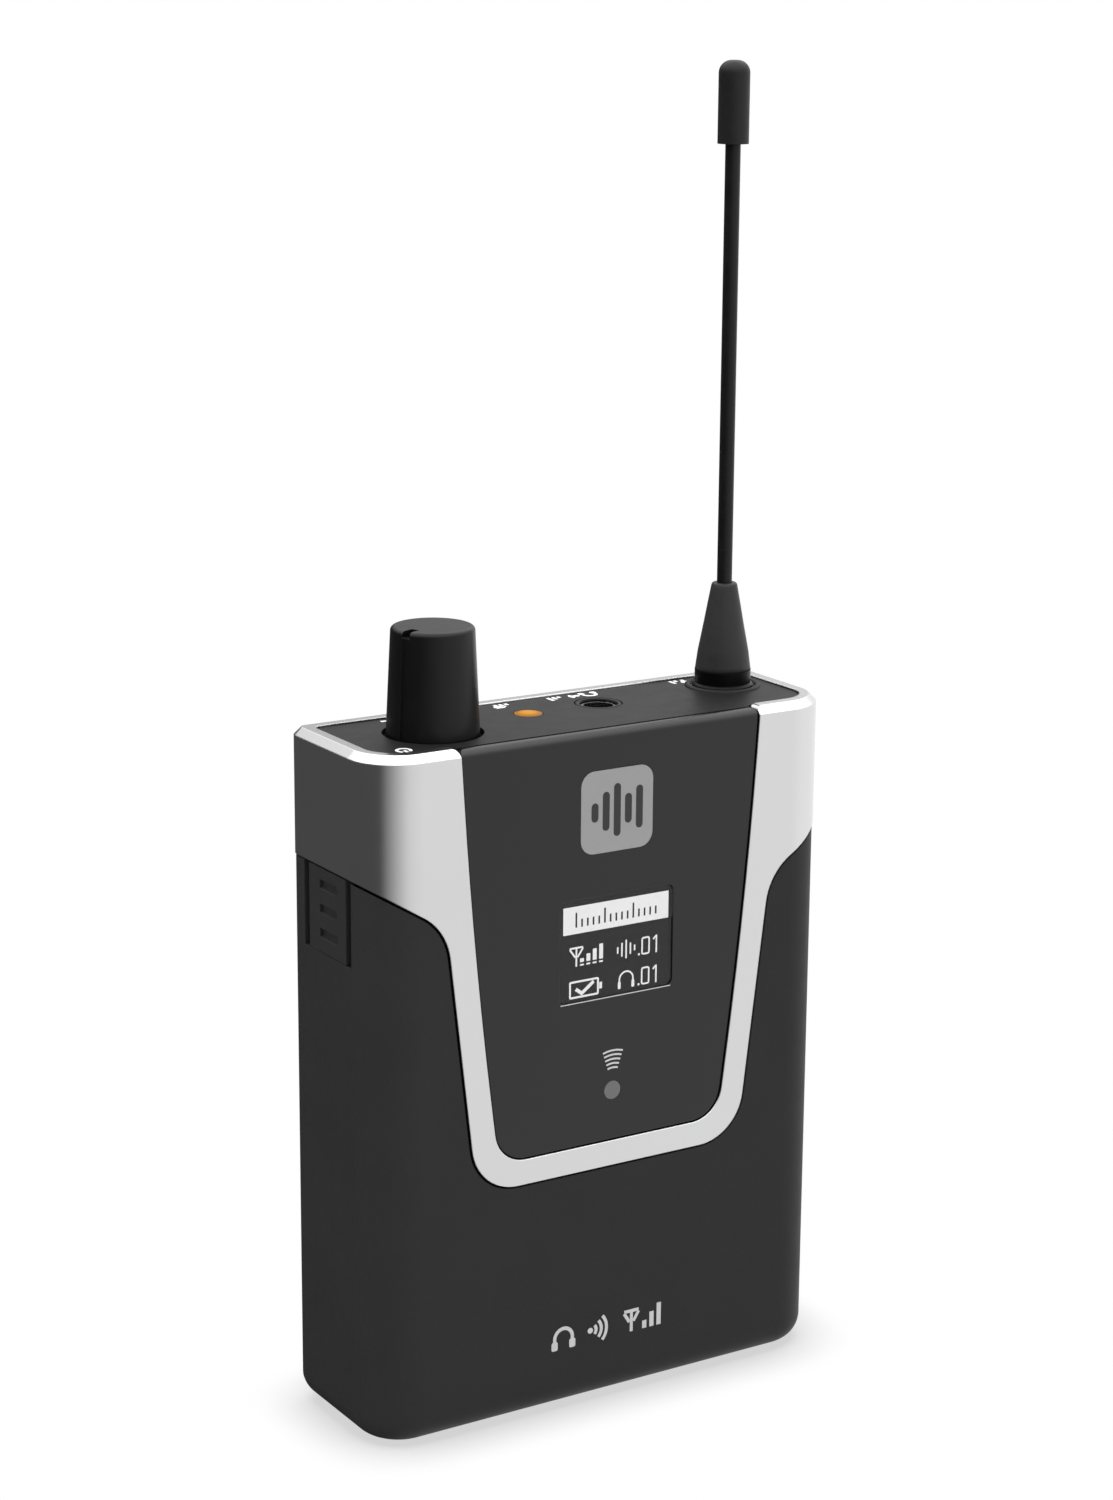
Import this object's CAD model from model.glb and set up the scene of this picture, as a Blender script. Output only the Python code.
"""Looks of the wireless bodypack receiver: finishes, printed marks, display, flexible whip, light and camera.

Lengths are in millimetres and become metres where a mesh is made. X is right, Y back, Z up, and heights
are measured from the sleeve's inside floor, as in the CAD source.
"""
import math

import bmesh
import bpy
from mathutils import Matrix, Vector


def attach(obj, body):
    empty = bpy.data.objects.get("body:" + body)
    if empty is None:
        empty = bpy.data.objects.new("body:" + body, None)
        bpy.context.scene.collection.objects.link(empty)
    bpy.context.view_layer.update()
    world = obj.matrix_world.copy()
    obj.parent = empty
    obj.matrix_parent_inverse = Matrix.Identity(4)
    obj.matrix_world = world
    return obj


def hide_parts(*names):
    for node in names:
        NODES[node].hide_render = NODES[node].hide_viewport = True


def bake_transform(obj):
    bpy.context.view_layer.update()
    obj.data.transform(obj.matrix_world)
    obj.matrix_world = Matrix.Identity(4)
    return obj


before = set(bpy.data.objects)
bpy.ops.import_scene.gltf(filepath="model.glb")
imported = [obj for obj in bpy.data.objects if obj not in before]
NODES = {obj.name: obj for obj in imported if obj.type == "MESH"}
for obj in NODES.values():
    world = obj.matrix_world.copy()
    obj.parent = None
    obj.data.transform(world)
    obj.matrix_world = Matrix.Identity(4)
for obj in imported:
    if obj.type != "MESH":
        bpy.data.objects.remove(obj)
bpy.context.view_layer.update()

MM = 0.001

# ---- places taken over from the CAD model ----
SLEEVE_FLOOR = 1.4
PANEL_FRONT_Y = -10.05
WINDOW_BACK_Y = -9.55
TOP_PANEL_Z = 82.7
PLATE_FRONT_Y = -8.55
CHASSIS_BACK_Y = 8.55
SLEEVE_FRONT_Y = -10.15
BADGE_X = 0.5
BADGE_Z = 73.0
BADGE_FRONT_Y = -10.1
PICTURE_X = 0.94
WINDOW_BOTTOM_Z = 50.2
IR_X = 0.3
IR_Z = 38.3
BUTTON_Z = 16.0
BUTTON_PITCH = 9.5
LED_CENTRE = (-4.4, 1.9, 82.85)
WHIP_AXIS = (24.1, 2.6)
WHIP_R = 0.92
WHIP_SEAM_Z = 99.8
WHIP_END_Z = 150.0
BATTERY_X = 7.4


def placed(x, y, z):
    """A place on the object, in metres above the surface that it stands on."""
    return Vector((x, y, z + SLEEVE_FLOOR)) * MM


def linear(level):
    """Linear light for a grey given on the usual 0 to 255 screen scale."""
    value = level / 255
    return value / 12.92 if value <= 0.04045 else ((value + 0.055) / 1.055) ** 2.4


def grey(level, tint=(1.0, 1.0, 1.0)):
    """Colour of a grey on the screen scale, with a slight tint."""
    return tuple(linear(level) * part for part in tint)


# ---- materials ----

class Look:
    """One material's node tree, with short calls for the nodes that the finishes share."""

    def __init__(self, name, roughness, metallic=0.0):
        self.material = bpy.data.materials.new(name)
        self.material.use_nodes = True
        self.tree = self.material.node_tree
        self.shader = self.tree.nodes["Principled BSDF"]
        self.set(Roughness=roughness, Metallic=metallic)
        self.place = self.node("ShaderNodeTexCoord").outputs["Object"]

    def set(self, **values):
        """Sets the shader's own sockets; an underscore stands for a space in a socket's name."""
        for name, value in values.items():
            self.shader.inputs[name.replace("_", " ")].default_value = value

    def node(self, kind, **settings):
        made = self.tree.nodes.new(kind)
        for name, value in settings.items():
            setattr(made, name, value)
        return made

    def join(self, source, target):
        self.tree.links.new(source, target)

    def stretched(self, factors):
        """Place on the object with each axis stretched by a factor."""
        mapping = self.node("ShaderNodeMapping")
        mapping.inputs["Scale"].default_value = factors
        self.join(self.place, mapping.inputs["Vector"])
        return mapping.outputs["Vector"]

    def noise(self, size, detail=2.0, place=None):
        """Soft random pattern with patches of about the given size."""
        made = self.node("ShaderNodeTexNoise")
        made.inputs["Scale"].default_value = 1 / (size * MM)
        made.inputs["Detail"].default_value = detail
        self.join(place or self.place, made.inputs["Vector"])
        return made.outputs["Fac"]

    def cells(self, size, output="Distance"):
        """Cell pattern with cells of about the given size."""
        made = self.node("ShaderNodeTexVoronoi")
        made.inputs["Scale"].default_value = 1 / (size * MM)
        self.join(self.place, made.inputs["Vector"])
        return made.outputs[output]

    def ranged(self, value, low, high, start=0.3, end=0.7):
        """Value brought from start..end to low..high."""
        made = self.node("ShaderNodeMapRange")
        for name, number in (("From Min", start), ("From Max", end), ("To Min", low), ("To Max", high)):
            made.inputs[name].default_value = number
        self.join(value, made.inputs["Value"])
        return made.outputs["Result"]

    def maths(self, operation, first, second=None):
        made = self.node("ShaderNodeMath", operation=operation)
        for socket, value in zip(made.inputs, (first, second)):
            if isinstance(value, (int, float)):
                socket.default_value = value
            elif value is not None:
                self.join(value, socket)
        return made.outputs["Value"]

    def mixed(self, factor, first, second):
        """Colour between two colours, each a triple or a socket."""
        made = self.node("ShaderNodeMix", data_type="RGBA")
        self.join(factor, made.inputs["Factor"])
        for name, colour in (("A", first), ("B", second)):
            socket = [s for s in made.inputs if s.name == name and s.type == "RGBA"][0]
            if isinstance(colour, tuple):
                socket.default_value = (*colour, 1)
            else:
                self.join(colour, socket)
        return [s for s in made.outputs if s.type == "RGBA"][0]

    def colour(self, source, socket="Base Color"):
        self.join(source, self.shader.inputs[socket])

    def mottled(self, base, spread, size, fine):
        """Base colour varied by broad and fine noise; spread is the share that it varies by."""
        dark = tuple(part * (1 - spread) for part in base)
        light = tuple(part * (1 + spread) for part in base)
        broad = self.noise(size, 3.0)
        small = self.noise(fine, 2.0)
        both = self.maths("MULTIPLY_ADD", broad, 0.5)
        self.join(self.maths("MULTIPLY", small, 0.5), both.node.inputs[2])
        result = self.mixed(self.ranged(both, 0, 1), dark, light)
        self.colour(result)
        return result

    def rough(self, low, high, size):
        self.join(self.ranged(self.noise(size, 3.0), low, high), self.shader.inputs["Roughness"])

    def edged(self, radius):
        """Normal that rounds the piece's edges by a small radius."""
        made = self.node("ShaderNodeBevel", samples=6)
        made.inputs["Radius"].default_value = radius * MM
        return made.outputs["Normal"]

    def bump(self, height, depth, normal=None):
        """Relief of the given depth on top of a normal."""
        made = self.node("ShaderNodeBump")
        made.inputs["Strength"].default_value = 1.0
        made.inputs["Distance"].default_value = depth * MM
        self.join(height, made.inputs["Height"])
        if normal is not None:
            self.join(normal, made.inputs["Normal"])
        return made.outputs["Normal"]

    def relief(self, normal):
        self.join(normal, self.shader.inputs["Normal"])


def moulded(name, base, rough, edge=0.2, grain=0.22, depth=0.006, spread=0.08, specular=0.5):
    """Moulded plastic with a fine spark-eroded grain, slightly uneven in tone and gloss."""
    look = Look(name, rough)
    look.set(Specular_IOR_Level=specular)
    look.mottled(base, spread, 9.0, grain * 1.5)
    look.rough(rough - 0.02, rough + 0.03, 2.5)
    pits = look.maths("ADD", look.noise(grain, 3.0), look.maths("MULTIPLY", look.cells(grain * 1.7), 0.5))
    look.relief(look.bump(pits, depth, look.edged(edge)))
    return look


def lacquer(name, base, rough, edge=0.25):
    """Silver metallic paint: fine flake under a thin clear coat."""
    look = Look(name, rough, metallic=1.0)
    look.set(Coat_Weight=0.25, Coat_Roughness=0.22, Coat_IOR=1.45)
    look.mottled(base, 0.02, 14.0, 0.12)
    look.rough(rough - 0.01, rough + 0.015, 3.0)
    flake = look.bump(look.cells(0.07, "Color"), 0.0015, look.edged(edge))
    look.relief(look.bump(look.noise(0.9, 2.0), 0.001, flake))
    return look


def metal(name, base, rough, edge=0.06, drawn=(1.0, 1.0, 6.0)):
    """Bare or plated metal with fine marks drawn along one axis."""
    look = Look(name, rough, metallic=1.0)
    look.mottled(base, 0.08, 3.0, 0.25)
    marks = look.noise(0.5, 4.0, look.stretched(drawn))
    look.join(look.ranged(marks, rough - 0.08, rough + 0.12), look.shader.inputs["Roughness"])
    look.relief(look.bump(marks, 0.003, look.edged(edge)))
    return look


def rubber(name, base, rough, edge=0.15):
    """Soft matt rubber with a faint bloom."""
    look = Look(name, rough)
    look.set(Specular_IOR_Level=0.3, Sheen_Weight=0.02, Sheen_Roughness=0.5)
    look.mottled(base, 0.16, 5.0, 0.3)
    look.rough(rough - 0.05, rough + 0.08, 1.2)
    look.relief(look.bump(look.noise(0.16, 4.0), 0.004, look.edged(edge)))
    return look


def ink(name, base, rough=0.5):
    """Pad-printed ink, a little uneven."""
    look = Look(name, rough)
    look.mottled(base, 0.06, 1.5, 0.15)
    look.relief(look.bump(look.noise(0.12, 3.0), 0.002))
    return look


def light_source(name, colour, strength, unevenness=0.08, size=0.35):
    """Lit display element: an even glow with the faint grid of its dots."""
    look = Look(name, 0.4)
    look.set(Base_Color=(0.02, 0.02, 0.02, 1), Emission_Strength=strength)
    dim = tuple(part * (1 - unevenness) for part in colour)
    look.colour(look.mixed(look.ranged(look.noise(size, 2.0), 0, 1), dim, colour), "Emission Color")
    return look


def lens_amber():
    """Amber lens lit from below: bright in the middle, brown towards its edge."""
    look = Look("amber_lens_lit", 0.3)
    look.set(Specular_IOR_Level=0.05, Emission_Strength=0.55)
    away = look.node("ShaderNodeVectorMath", operation="DISTANCE")
    away.inputs[1].default_value = placed(*LED_CENTRE)
    look.join(look.place, away.inputs[0])
    ramp = look.node("ShaderNodeValToRGB")
    stops = ramp.color_ramp.elements
    stops[0].position, stops[0].color = 0.0, (0.8, 0.4, 0.006, 1)
    stops[1].position, stops[1].color = 1.0, (0.05, 0.015, 0.001, 1)
    stops.new(0.45).color = (0.68, 0.3, 0.003, 1)
    stops.new(0.75).color = (0.2, 0.07, 0.001, 1)
    look.join(look.ranged(away.outputs["Value"], 0, 1, 0, 1.75 * MM), ramp.inputs["Fac"])
    look.colour(look.mixed(look.noise(0.5), (0.2, 0.08, 0.001), (0.25, 0.1, 0.002)))
    look.colour(ramp.outputs["Color"], "Emission Color")
    return look


def smoked():
    """Smoked window: dark and satin on its surface, and the lit display shows through."""
    look = Look("smoked_window_clear", 0.3)
    look.set(Alpha=0.6, Specular_IOR_Level=0.85)
    look.mottled(grey(8), 0.08, 6.0, 0.6)
    look.rough(0.29, 0.34, 2.0)
    return look


def circuit_board():
    """Green solder mask over copper tracks, with a faint weave."""
    look = Look("board_mask", 0.35)
    look.set(Coat_Weight=0.3, Coat_Roughness=0.15)
    tracks = look.node("ShaderNodeTexBrick")
    tracks.inputs["Scale"].default_value = 240.0
    tracks.inputs["Mortar Size"].default_value = 0.07
    look.join(look.stretched((1.0, 1.0, 1.7)), tracks.inputs["Vector"])
    base = look.mixed(look.noise(2.5), (0.006, 0.05, 0.016), (0.01, 0.08, 0.028))
    look.colour(look.mixed(tracks.outputs["Fac"], base, (0.03, 0.14, 0.05)))
    look.relief(look.bump(tracks.outputs["Fac"], 0.02))
    return look


def cell_wrap(name, bottom, top, plus_up):
    """Printed film on a battery: dark sleeve, warm band at the positive end and bare metal at both ends."""
    look = Look(name, 0.3)
    look.set(Coat_Weight=0.4, Coat_Roughness=0.1)
    split = look.node("ShaderNodeSeparateXYZ")
    look.join(look.place, split.inputs["Vector"])
    low, high = (bottom, top) if plus_up else (top, bottom)
    along = look.ranged(split.outputs["Z"], 0, 1, placed(0, 0, low).z, placed(0, 0, high).z)
    bands = look.node("ShaderNodeValToRGB")
    bands.color_ramp.interpolation = "CONSTANT"
    stops = bands.color_ramp.elements
    stops[0].position, stops[0].color = 0.0, (0.55, 0.55, 0.56, 1)
    stops[1].position, stops[1].color = 0.012, (0.012, 0.014, 0.018, 1)
    line, warm, bare = (0.5, 0.5, 0.5), (0.52, 0.17, 0.03), (0.55, 0.55, 0.56)
    for position, colour in ((0.70, line), (0.712, warm), (0.985, bare)):
        stops.new(position).color = (*colour, 1)
    look.join(along, bands.inputs["Fac"])
    scuffs = look.ranged(look.noise(1.6, 6.0), 0, 0.25)
    look.colour(look.mixed(scuffs, bands.outputs["Color"], (0.2, 0.19, 0.18)))
    look.rough(0.24, 0.4, 1.5)
    look.relief(look.bump(look.noise(4.0, 2.0), 0.01, look.edged(0.15)))
    return look


FINISHES = {
    "silver": lacquer("silver_lacquer", (0.74, 0.74, 0.745), 0.22),
    "sleeve": moulded("sleeve_grain", grey(33), 0.50, edge=0.22, grain=0.24, depth=0.008, specular=0.14),
    "panel": moulded("panel_grain", grey(27), 0.46, edge=0.12, grain=0.16, depth=0.003, spread=0.05,
                     specular=0.15),
    "satin": moulded("front_satin_finish", grey(8), 0.3, edge=0.12, grain=0.12, depth=0.002, spread=0.05,
                     specular=0.5),
    "badge": moulded("badge_light", grey(125), 0.42, edge=0.06, grain=0.12, depth=0.001, spread=0.03,
                     specular=0.3),
    "chassis": moulded("chassis_grain", grey(9), 0.55, edge=0.15, grain=0.3, depth=0.01, specular=0.2),
    "component": moulded("component_matt", grey(24), 0.55, edge=0.08, grain=0.1, depth=0.003),
    "knob": moulded("knob_satin", grey(7), 0.34, edge=0.1, grain=0.14, depth=0.002, specular=0.28),
    "ferrule": moulded("ferrule_satin", grey(4), 0.3, edge=0.08, grain=0.12, depth=0.001, specular=0.12),
    "whip": rubber("whip_rubber", grey(5), 0.42),
    "tip": rubber("tip_rubber", grey(14), 0.46),
    "boot": rubber("boot_rubber", grey(32), 0.46),
    "button": rubber("button_matt", grey(60), 0.55),
    "infrared": moulded("infrared_grey", grey(84), 0.3, edge=0.08, grain=0.2, depth=0.001, spread=0.04),
    "steel": metal("spring_steel", (0.6, 0.59, 0.57), 0.28),
    "nickel": metal("nickel_plate", (0.66, 0.64, 0.6), 0.22),
    "gunmetal": metal("gunmetal_plate", (0.2, 0.2, 0.2), 0.24),
    "black_steel": metal("black_steel_wire", (0.06, 0.06, 0.065), 0.36),
    "black_screw": metal("black_zinc", (0.09, 0.09, 0.095), 0.34, edge=0.04),
    "board": circuit_board(),
    "amber": lens_amber(),
    "smoked": smoked(),
    "display": moulded("display_glass_dark", grey(22), 0.2, edge=0.05, grain=0.5, depth=0.0005),
    "cell_left": cell_wrap("cell_film_left", 7.8, 57.2, True),
    "cell_right": cell_wrap("cell_film_right", 6.1, 55.5, False),
    "print_white": ink("ink_white", grey(232)),
    "print_grey": ink("ink_grey", grey(168)),
    "badge_ink": ink("badge_dark", grey(28)),
    "picture": light_source("display_lit", (1.0, 1.0, 1.0), 5.0),
    "picture_dark": ink("display_unlit", grey(60)),
}

NODES_OF_FINISH = {
    "silver": ("top_housing",),
    "panel": ("top_panel",),
    "satin": ("display_panel",),
    "badge": ("badge",),
    "smoked": ("display_window",),
    "display": ("display_module",),
    "infrared": ("ir_window",),
    "component": (
        "ir_receiver", "main_chip", "board_parts", "board_header", "pot_body", "signal_led",
        "jack_body",
    ),
    "sleeve": ("sleeve", "latch_left", "latch_right"),
    "chassis": ("chassis", "front_plate", "clip_bracket"),
    "black_screw": ("front_plate_screws", "housing_screws", "bracket_screws"),
    "board": ("main_board", "top_board"),
    "nickel": (
        "rf_shield_can", "contact_plates", "link_plate", "pot_bushing", "pot_nut", "antenna_nut",
        "antenna_socket",
    ),
    "steel": ("dome_switches", "spring_left", "spring_right", "pot_shaft"),
    "cell_left": ("battery_left",),
    "cell_right": ("battery_right",),
    "knob": ("volume_knob",),
    "amber": ("led_light_pipe",),
    "ferrule": ("jack_ring", "antenna_ferrule"),
    "gunmetal": ("jack_barrel",),
    "boot": ("antenna_boot",),
    "whip": ("whip_root", "whip"),
    "tip": ("whip_tip",),
    "black_steel": ("belt_clip",),
    "button": ("button_down", "button_set", "button_up"),
}

for finish, node_names in NODES_OF_FINISH.items():
    for node_name in node_names:
        holder = NODES[node_name].material_slots[0]
        holder.link = "OBJECT"
        holder.material = FINISHES[finish].material


# ---- meshes ----

def piece(name, bm, finish, body):
    """Turns a bmesh in metres into a piece that rides on a body."""
    mesh = bpy.data.meshes.new(name)
    bm.normal_update()
    bm.to_mesh(mesh)
    bm.free()
    mesh.materials.append(FINISHES[finish].material)
    made = bpy.data.objects.new(name, mesh)
    bpy.context.scene.collection.objects.link(made)
    if body is not None:
        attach(made, body)
    return made


class Artwork:
    """Flat marks on a plane, gathered in one thin mesh. Across and up span the plane as it is read."""

    def __init__(self, origin, across, up):
        self.origin = Vector(origin)
        self.across = Vector(across)
        self.up = Vector(up)
        self.bm = bmesh.new()

    def corner(self, x, y):
        return self.bm.verts.new(placed(*(self.origin + self.across * x + self.up * y)))

    def shape(self, points):
        self.bm.faces.new([self.corner(x, y) for x, y in points])

    def ribbon(self, points, width, closed=False):
        """Line of even width through the points, mitred at its bends."""
        points = [Vector(point) for point in points]
        count = len(points)
        sides = []
        for index, point in enumerate(points):
            ways = []
            if index or closed:
                ways.append((point - points[index - 1]).normalized())
            if index < count - 1 or closed:
                ways.append((points[(index + 1) % count] - point).normalized())
            normals = [Vector((-w.y, w.x)) for w in ways]
            middle = sum(normals, Vector((0, 0))).normalized()
            reach = width / 2 / max(middle.dot(normals[0]), 0.35)
            sides.append((self.corner(*(point + middle * reach)), self.corner(*(point - middle * reach))))
        pairs = list(zip(sides, sides[1:] + sides[:1])) if closed else list(zip(sides, sides[1:]))
        for (left, right), (next_left, next_right) in pairs:
            self.bm.faces.new((left, right, next_right, next_left))

    def arc(self, x, y, radius, width, start, end):
        """Arc line; angles in degrees, anticlockwise from the right."""
        steps = max(3, int(abs(end - start) / 7))
        angles = [math.radians(start + (end - start) * k / steps) for k in range(steps + 1)]
        closed = abs(end - start) >= 360
        if closed:
            angles.pop()
        self.ribbon([(x + radius * math.cos(a), y + radius * math.sin(a)) for a in angles], width, closed)

    def disc(self, x, y, radius):
        self.shape([(x + radius * math.cos(math.radians(a)), y + radius * math.sin(math.radians(a)))
                    for a in range(0, 360, 12)])

    def rounded(self, low, high, radius):
        """Corners of a rectangle with rounded corners, anticlockwise."""
        points = []
        corners = ((high[0], high[1]), (low[0], high[1]), (low[0], low[1]), (high[0], low[1]))
        for start, (x, y) in zip((0, 90, 180, 270), corners):
            cx = x - radius if start in (0, 270) else x + radius
            cy = y - radius if start in (0, 90) else y + radius
            for k in range(5):
                angle = math.radians(start + 22.5 * k)
                points.append((cx + radius * math.cos(angle), cy + radius * math.sin(angle)))
        return points

    def bar(self, low, high, radius=0.0):
        if radius:
            self.shape(self.rounded(low, high, radius))
        else:
            self.shape([low, (high[0], low[1]), high, (low[0], high[1])])

    def frame(self, low, high, radius, width):
        inset = width / 2
        inner_low = (low[0] + inset, low[1] + inset)
        inner_high = (high[0] - inset, high[1] - inset)
        self.ribbon(self.rounded(inner_low, inner_high, radius), width, closed=True)

    def finish(self, name, finish, body, slot, sunk=0.01, proud=0.02):
        """Closes the marks into solids that reach from just under the surface to just above it."""
        outward = self.across.cross(self.up)
        faces = list(self.bm.faces)
        for vertex in self.bm.verts:
            vertex.co -= outward * sunk * MM
        made = bmesh.ops.extrude_face_region(self.bm, geom=faces)
        for vertex in [item for item in made["geom"] if isinstance(item, bmesh.types.BMVert)]:
            vertex.co += outward * (sunk + proud) * MM
        bmesh.ops.recalc_face_normals(self.bm, faces=self.bm.faces)
        return piece(name, self.bm, finish, body)


# ---- pictograms, drawn round a centre at a given height ----

def headphones(art, x, y, size, line):
    """Headband and two ear cushions."""
    radius = size * 0.42
    art.arc(x, y - size * 0.02, radius, line, 0, 180)
    for side in (-1, 1):
        cup_x = x + side * radius
        art.bar((cup_x - line * 0.5, y - size * 0.12), (cup_x + line * 0.5, y - size * 0.02))
        art.bar((cup_x - line * 0.95, y - size * 0.5), (cup_x + line * 0.95, y - size * 0.12), line * 0.5)


def sound_waves(art, x, y, size, line, count=3):
    """A dot with arcs spreading to the right."""
    art.disc(x - size * 0.42, y, line * 0.9)
    for index in range(count):
        art.arc(x - size * 0.42, y, size * (0.28 + 0.25 * index), line, -42, 42)


def aerial(art, x, y, size, line):
    """Mast with two arms."""
    art.bar((x - line / 2, y - size / 2), (x + line / 2, y + size / 2))
    for side in (-1, 1):
        art.ribbon([(x + side * size * 0.42, y + size / 2), (x + side * line * 0.7, y + size * 0.02)], line)
    art.bar((x - size * 0.42, y + size / 2), (x + size * 0.42, y + size / 2 + line))


def levels(art, x, y, size, line, heights):
    """Row of upright bars on one foot line."""
    pitch = line * 1.7
    for index, height in enumerate(heights):
        left = x + index * pitch
        art.bar((left, y - size / 2), (left + line, y - size / 2 + size * height))


def power_symbol(art, x, y, size, line):
    art.arc(x, y, size * 0.4, line, 125, 415)
    art.bar((x - line / 2, y + size * 0.05), (x + line / 2, y + size * 0.55))


def digit_zero(art, x, y, width, height, line):
    art.frame((x, y), (x + width, y + height), 0.22, line)


def digit_one(art, x, y, width, height, line):
    middle = x + width * 0.6
    art.bar((middle - line / 2, y), (middle + line / 2, y + height))
    flag_top = (middle - line * 0.4, y + height - line * 0.6)
    art.ribbon([(middle - width * 0.42, y + height * 0.78), flag_top], line)


def badge_mark():
    """Generic sound-level mark in the badge."""
    art = Artwork((BADGE_X, BADGE_FRONT_Y, BADGE_Z), (1, 0, 0), (0, 0, 1))
    width = 0.95
    for index, height in enumerate((2.3, 4.7, 6.4, 3.6, 5.2)):
        x = (index - 2) * 1.55
        art.bar((x - width / 2, -height / 2), (x + width / 2, height / 2), width / 2 - 0.01)
    return art.finish("badge_mark", "badge_ink", "receiver", "front_satin")


def front_marks():
    """Sync symbol on the display panel, and the fine line under the display window."""
    art = Artwork((IR_X, PANEL_FRONT_Y, 0), (1, 0, 0), (0, 0, 1))
    centre_z = IR_Z + 0.6
    for index in range(5):
        radius = 2.25 + 0.54 * index
        art.arc(0, centre_z, radius, 0.22, 90 - 18.5, 90 + 18.5)
    art.bar((-7.4, WINDOW_BOTTOM_Z - 0.18), (8.1, WINDOW_BOTTOM_Z - 0.07))
    return art.finish("sync_symbol", "print_grey", "receiver", "front_satin")


def sleeve_marks():
    """Row of pictograms low on the sleeve: headphones, sound and reception."""
    art = Artwork((0, SLEEVE_FRONT_Y, 7.9), (1, 0, 0), (0, 0, 1))
    headphones(art, -6.4, 0.0, 3.0, 0.46)
    sound_waves(art, -1.3, 0.0, 3.0, 0.42)
    aerial(art, 3.4, -0.2, 2.5, 0.42)
    levels(art, 5.0, 0.0, 2.9, 0.62, (0.35, 0.68, 1.0))
    return art.finish("sleeve_pictograms", "print_grey", "sleeve", "sleeve_plastic")


def top_marks():
    """Pictograms beside the controls on the top panel, turned to be read from behind."""
    art = Artwork((0, 0, TOP_PANEL_Z), (-1, 0, 0), (0, -1, 0))
    headphones(art, -7.2, -6.6, 2.0, 0.4)
    sound_waves(art, -4.7, -6.65, 1.8, 0.36, 2)
    levels(art, -3.3, -6.65, 1.5, 0.42, (0.4, 0.7, 1.0))
    aerial(art, 5.8, -6.8, 1.35, 0.4)
    levels(art, 4.1, -6.75, 1.4, 0.45, (0.5, 1.0))
    aerial(art, -21.2, -6.8, 1.4, 0.4)
    levels(art, -20.4, -6.8, 1.4, 0.4, (0.5, 1.0))
    power_symbol(art, 26.0, 6.4, 2.0, 0.38)
    art.shape([(19.9, -7.0), (21.5, -6.7), (21.5, -7.3)])
    return art.finish("top_pictograms", "print_white", "receiver", "panel_grey")


def plate_marks():
    """Marks beside the control buttons on the front plate, seen when the sleeve is down."""
    art = Artwork((0, PLATE_FRONT_Y, BUTTON_Z + 4.6), (1, 0, 0), (0, 0, 1))
    left = -BUTTON_PITCH
    right = BUTTON_PITCH
    art.shape([(left - 0.9, 0.5), (left, -0.7), (left + 0.9, 0.5)])
    art.shape([(right - 0.9, -0.5), (right + 0.9, -0.5), (right, 0.7)])
    art.arc(0, 0, 0.7, 0.28, 0, 360)
    art.frame((-14.2, -8.4), (14.2, 2.2), 1.2, 0.2)
    return art.finish("button_marks", "print_white", "receiver", "chassis_plastic")


def polarity_marks():
    """Raised plus and minus signs at the ends of the battery bay."""
    art = Artwork((0, CHASSIS_BACK_Y, 0), (-1, 0, 0), (0, 0, 1))
    for x, z, plus in ((BATTERY_X, 62.0, True), (-BATTERY_X, 62.0, False)):
        art.bar((x - 1.5, z - 0.3), (x + 1.5, z + 0.3))
        if plus:
            art.bar((x - 0.3, z + 0.35), (x + 0.3, z + 1.5))
            art.bar((x - 0.3, z - 1.5), (x + 0.3, z - 0.35))
    return art.finish("polarity_marks", "chassis", "receiver", "chassis_plastic", proud=0.2)


def display_picture():
    """Lit elements of the display: a tuning bar, reception, battery and two plain numbers."""
    art = Artwork((PICTURE_X, WINDOW_BACK_Y + 0.06, 0), (1, 0, 0), (0, 0, 1))
    scale_low, scale_high = 58.45, 61.8
    half = 7.4
    ticks = [-5.6 + 0.8 * k for k in range(15)]
    tick = 0.13
    foot, tall, short = 59.2, 61.05, 60.2
    art.bar((-half, scale_low), (half, foot))
    art.bar((-half, tall), (half, scale_high))
    edges = [-half] + [edge for x in ticks for edge in (x - tick, x + tick)] + [half]
    for left, right in zip(edges[0::2], edges[1::2]):
        art.bar((left, foot), (right, tall))
    for index, x in enumerate(ticks):
        if index % 5:
            art.bar((x - tick, short), (x + tick, tall))
    aerial(art, -5.55, 55.5, 2.2, 0.22)
    bar, pitch = 0.525, 0.89
    levels(art, -5.03, 55.78, 1.85, bar, (0.25, 0.5, 0.75, 1.0))
    for index in range(4):
        art.bar((-5.03 + index * pitch, 54.42), (-5.03 + index * pitch + bar, 54.62))
    art.frame((-6.52, 50.47), (-2.37, 52.63), 0.12, 0.24)
    art.bar((-2.3, 51.15), (-1.92, 51.95))
    art.ribbon([(-5.6, 51.6), (-4.75, 50.98), (-3.1, 52.2)], 0.42)
    for index, height in enumerate((0.8, 1.7, 2.3, 1.4, 0.7)):
        x = 0.25 + 0.6 * index
        art.bar((x - 0.1, 55.45 - height / 2), (x + 0.1, 55.45 + height / 2))
    headphones(art, 1.5, 51.75, 2.3, 0.2)
    for base in (54.35, 50.6):
        art.disc(3.28, base + 0.14, 0.14)
        digit_zero(art, 3.62, base, 1.2, 2.2, 0.2)
        digit_one(art, 5.1, base, 1.1, 2.2, 0.2)
    return art.finish("display_picture", "picture", "receiver", "display_glass", sunk=0.0, proud=0.02)


# ---- flexible whip ----

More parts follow.
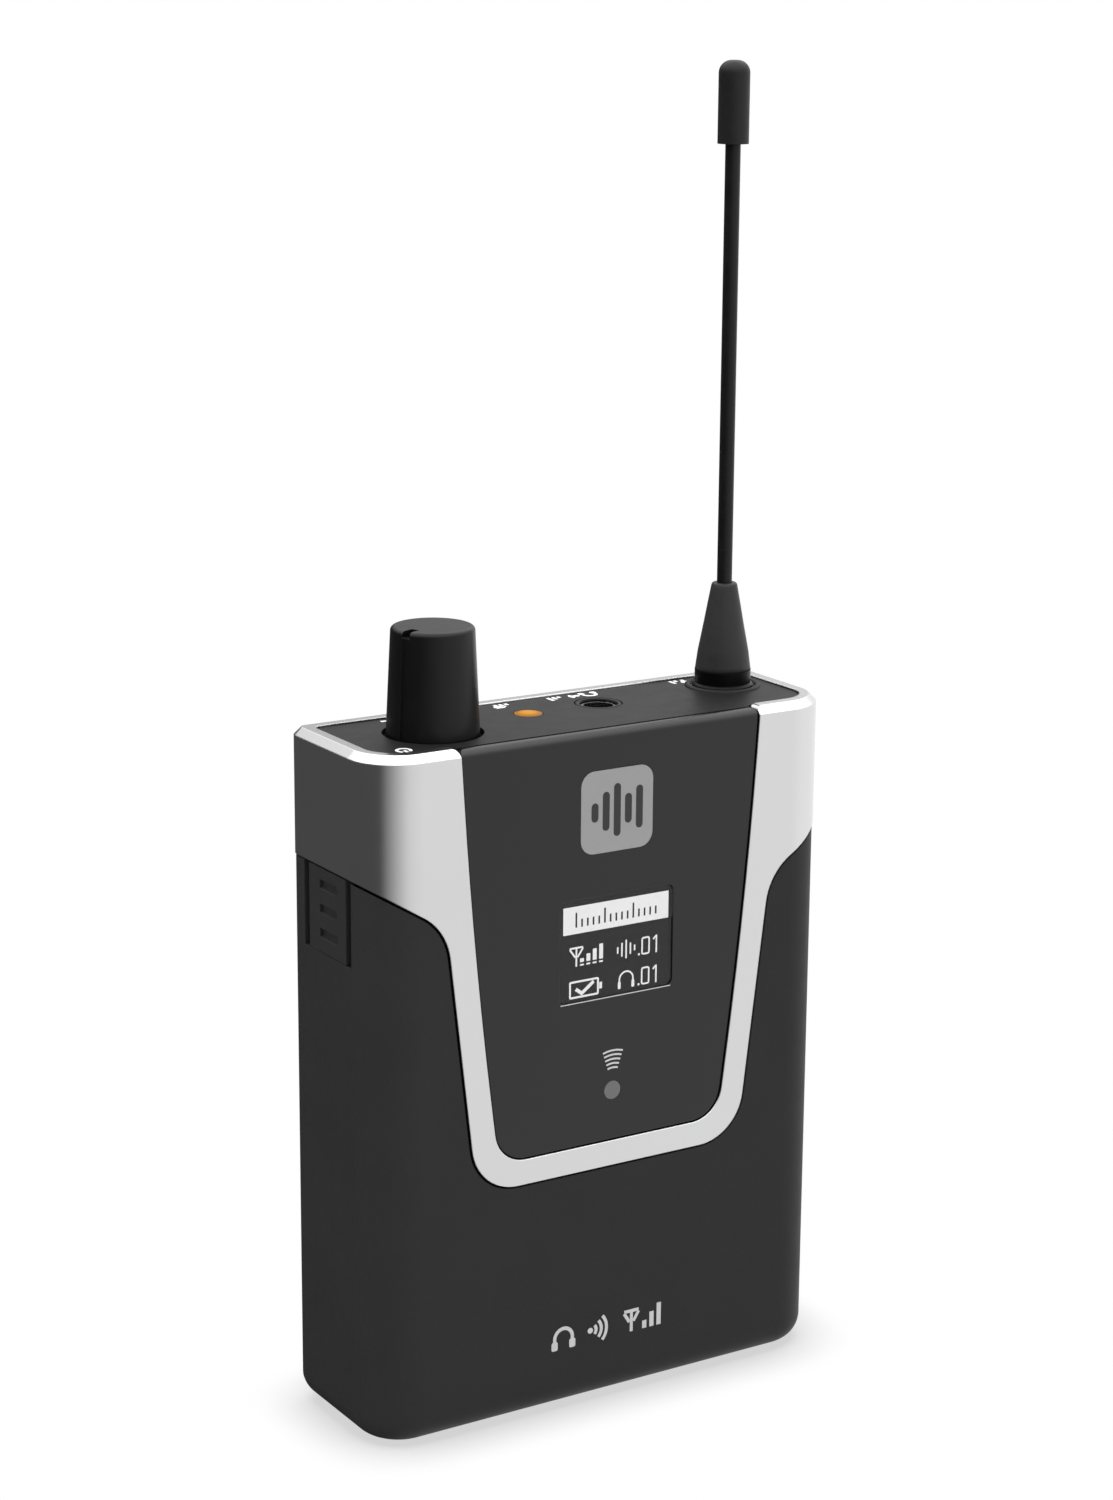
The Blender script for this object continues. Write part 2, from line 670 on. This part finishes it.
def lathe(profile, axis, segments=40):
    """Closed solid of revolution round a vertical axis from (radius, z) points, bottom to top."""
    bm = bmesh.new()
    rings = []
    for radius, z in profile:
        if radius == 0:
            rings.append([bm.verts.new(placed(axis[0], axis[1], z))])
            continue
        rings.append([bm.verts.new(placed(axis[0] + radius * math.cos(2 * math.pi * k / segments),
                                          axis[1] + radius * math.sin(2 * math.pi * k / segments), z))
                      for k in range(segments)])
    for low, high in zip(rings, rings[1:]):
        for k in range(segments):
            after = (k + 1) % segments
            if len(low) == 1:
                bm.faces.new((low[0], high[k], high[after]))
            elif len(high) == 1:
                bm.faces.new((low[k], low[after], high[0]))
            else:
                bm.faces.new((low[k], low[after], high[after], high[k]))
    for face in bm.faces:
        face.smooth = True
    bmesh.ops.recalc_face_normals(bm, faces=bm.faces)
    for edge in bm.edges:
        edge.smooth = edge.calc_face_angle(0) < math.radians(50)
    return bm


def stepped(points, step):
    """Profile with extra points, so that no run is longer than the step."""
    profile = [points[0]]
    for start, end in zip(points, points[1:]):
        count = max(1, math.ceil(abs(end[1] - start[1]) / step))
        for k in range(1, count + 1):
            part = k / count
            profile.append((start[0] + (end[0] - start[0]) * part, start[1] + (end[1] - start[1]) * part))
    return profile


def flexing(name, profile, finish, node):
    """Turned piece that bends smoothly from one body to the next between two heights."""
    made = piece(name, lathe(profile, WHIP_AXIS), finish, None)
    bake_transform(made)
    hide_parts(node)
    return made


def antenna():
    """Rubber boot and whip that bend as one."""
    boot = stepped([(0, 84.86), (3.3, 84.86), (3.4, 85.0), (3.12, 87.1), (2.72, 89.2), (2.38, 91.0),
                    (2.02, 93.0), (1.66, 94.95), (1.58, 95.35), (1.5, 95.52), (1.36, 95.6), (0.95, 95.6),
                    (0.9, 95.4), (0.9, 94.6), (0, 94.6)], 0.5)
    flexing("antenna_boot_rubber", boot, "boot", "antenna_boot")
    lower = stepped([(0, 94.7), (WHIP_R, 94.7), (WHIP_R, WHIP_SEAM_Z), (WHIP_R - 0.06, WHIP_SEAM_Z + 0.05),
                     (WHIP_R - 0.06, WHIP_SEAM_Z + 0.4), (0, WHIP_SEAM_Z + 0.4)], 0.4)
    flexing("whip_lower", lower, "whip", "whip_root")
    upper = stepped([(0, WHIP_SEAM_Z), (WHIP_R, WHIP_SEAM_Z), (WHIP_R, 109.0)], 0.4)
    upper += stepped([(WHIP_R, 109.0), (WHIP_R, WHIP_END_Z), (0, WHIP_END_Z)], 6.0)[1:]
    flexing("whip_upper", upper, "whip", "whip")


badge_mark()
front_marks()
sleeve_marks()
top_marks()
plate_marks()
polarity_marks()
display_picture()
antenna()


# ---- floor, light and camera ----

# Brightness of the walls by direction: 0 is the front, 90 the right, -90 the left, in degrees. The walls
# are dim on the left and behind, pale in front and brightest on the right.
WALL_LEVELS = ((-180, 0.07), (-60, 0.07), (0, 0.8), (60, 1.0), (130, 1.0), (165, 0.07))
CEILING_LEVEL = 2.4
CEILING_START = 0.18
CEILING_FULL = 0.85

# Floor sizes, in metres.
FLOOR_REACH = 3.0
FLOOR_DROP = -0.0001
SHADE_HALF_X = 0.06
SHADE_HALF_Y = 0.038
SHADE_REACH = 0.008

# Camera: turned to the left, looking slightly down, in degrees and millimetres.
CAMERA_TURN = 31.991
CAMERA_HEIGHT = 14.011
CAMERA_ROLL = 0.371
CAMERA_LENS = 76.62
CAMERA_SHIFT = (0.00517, -0.00243)
CAMERA_PLACE = (-197.332, -311.585, 170.520)


def floor_sheet(name, half_x, half_y, height, look):
    """Level sheet of floor round the origin."""
    bm = bmesh.new()
    corners = ((-half_x, -half_y), (half_x, -half_y), (half_x, half_y), (-half_x, half_y))
    bm.faces.new([bm.verts.new((x, y, height)) for x, y in corners])
    mesh = bpy.data.meshes.new(name)
    bm.to_mesh(mesh)
    bm.free()
    look.set(Specular_IOR_Level=0.0)
    mesh.materials.append(look.material)
    made = bpy.data.objects.new(name, mesh)
    bpy.context.scene.collection.objects.link(made)
    made.visible_glossy = False
    return made


def floor():
    """Plain pale floor that lights the object from below.

    The sleeve slides down past floor level, so the camera sees only the soft shade at the foot.
    """
    paper = Look("floor_paper", 0.9)
    paper.mottled((0.86, 0.86, 0.86), 0.004, 60.0, 4.0)
    floor_sheet("floor", FLOOR_REACH, FLOOR_REACH, FLOOR_DROP, paper).visible_camera = False
    shade = Look("floor_shade", 0.9)
    shade.mottled((0.02, 0.02, 0.02), 0.05, 9.0, 2.0)
    hollow = shade.node("ShaderNodeAmbientOcclusion", samples=16)
    hollow.inputs["Distance"].default_value = SHADE_REACH
    shade.join(shade.ranged(hollow.outputs["AO"], 0.36, 0.0, 0.4, 0.96), shade.shader.inputs["Alpha"])
    foot = floor_sheet("floor_shade", SHADE_HALF_X, SHADE_HALF_Y, FLOOR_DROP / 2, shade)
    foot.visible_diffuse = False
    foot.visible_shadow = False


def soft_sun(source, strength, width):
    """Large distant light from a direction, without highlights; width in degrees softens its shadow."""
    data = bpy.data.lights.new("sky_panel", "SUN")
    data.energy = strength
    data.angle = math.radians(width)
    made = bpy.data.objects.new("sky_panel", data)
    made.rotation_euler = Vector(source).to_track_quat("Z", "Y").to_euler()
    made.visible_glossy = False
    bpy.context.scene.collection.objects.link(made)


def studio_world():
    """Plain studio: soft walls that are dim on the left and behind, under a bright ceiling."""
    world = bpy.data.worlds.new("studio")
    bpy.context.scene.world = world
    world.use_nodes = True
    tree = world.node_tree
    parts = tree.nodes.new("ShaderNodeSeparateXYZ")
    tree.links.new(tree.nodes.new("ShaderNodeTexCoord").outputs["Generated"], parts.inputs["Vector"])

    def maths(operation, *values):
        made = tree.nodes.new("ShaderNodeMath")
        made.operation = operation
        for socket, value in zip(made.inputs, values):
            if isinstance(value, (int, float)):
                socket.default_value = value
            else:
                tree.links.new(value, socket)
        return made.outputs["Value"]

    def mixed(factor, first, second):
        made = tree.nodes.new("ShaderNodeMix")
        made.data_type = "RGBA"
        tree.links.new(factor, made.inputs["Factor"])
        sockets = [socket for socket in made.inputs if socket.type == "RGBA"]
        for socket, colour in zip(sockets, (first, second)):
            if isinstance(colour, float):
                socket.default_value = (colour, colour, colour, 1)
            else:
                tree.links.new(colour, socket)
        return [socket for socket in made.outputs if socket.type == "RGBA"][0]

    turn = maths("ARCTAN2", parts.outputs["X"], maths("MULTIPLY", parts.outputs["Y"], -1.0))
    around = maths("MULTIPLY_ADD", turn, 1 / (2 * math.pi), 0.5)
    ramp = tree.nodes.new("ShaderNodeValToRGB")
    stops = ramp.color_ramp.elements
    for index, (angle, level) in enumerate(WALL_LEVELS):
        place = angle / 360 + 0.5
        stop = stops[index] if index < 2 else stops.new(place)
        stop.position = place
        stop.color = (level, level, level, 1)
    tree.links.new(around, ramp.inputs["Fac"])
    height = tree.nodes.new("ShaderNodeMapRange")
    height.interpolation_type = "SMOOTHSTEP"
    height.inputs["From Min"].default_value = CEILING_START
    height.inputs["From Max"].default_value = CEILING_FULL
    tree.links.new(parts.outputs["Z"], height.inputs["Value"])
    room = mixed(height.outputs["Result"], ramp.outputs["Color"], CEILING_LEVEL)
    seen = tree.nodes.new("ShaderNodeLightPath").outputs["Is Camera Ray"]
    tree.links.new(mixed(seen, room, 1.0), tree.nodes["Background"].inputs["Color"])


def camera():
    """Camera in front on the left, a little above the object."""
    turn, height, roll = (math.radians(angle) for angle in (CAMERA_TURN, CAMERA_HEIGHT, CAMERA_ROLL))
    back = Vector((-math.sin(turn) * math.cos(height), -math.cos(turn) * math.cos(height), math.sin(height)))
    right = Vector((math.cos(turn), -math.sin(turn), 0))
    up = back.cross(right)
    right, up = right * math.cos(roll) + up * math.sin(roll), up * math.cos(roll) - right * math.sin(roll)
    data = bpy.data.cameras.new("camera")
    data.sensor_width = 36.0
    data.lens = CAMERA_LENS
    data.shift_x, data.shift_y = CAMERA_SHIFT
    data.clip_start = 0.01
    made = bpy.data.objects.new("camera", data)
    matrix = Matrix((right, up, back)).transposed().to_4x4()
    matrix.translation = placed(*CAMERA_PLACE)
    made.matrix_world = matrix
    bpy.context.scene.collection.objects.link(made)
    bpy.context.scene.camera = made


floor()
studio_world()
soft_sun((-1.0, 0.1, 0.2), 2.2, 60)
camera()
bpy.context.scene.view_settings.view_transform = "Standard"
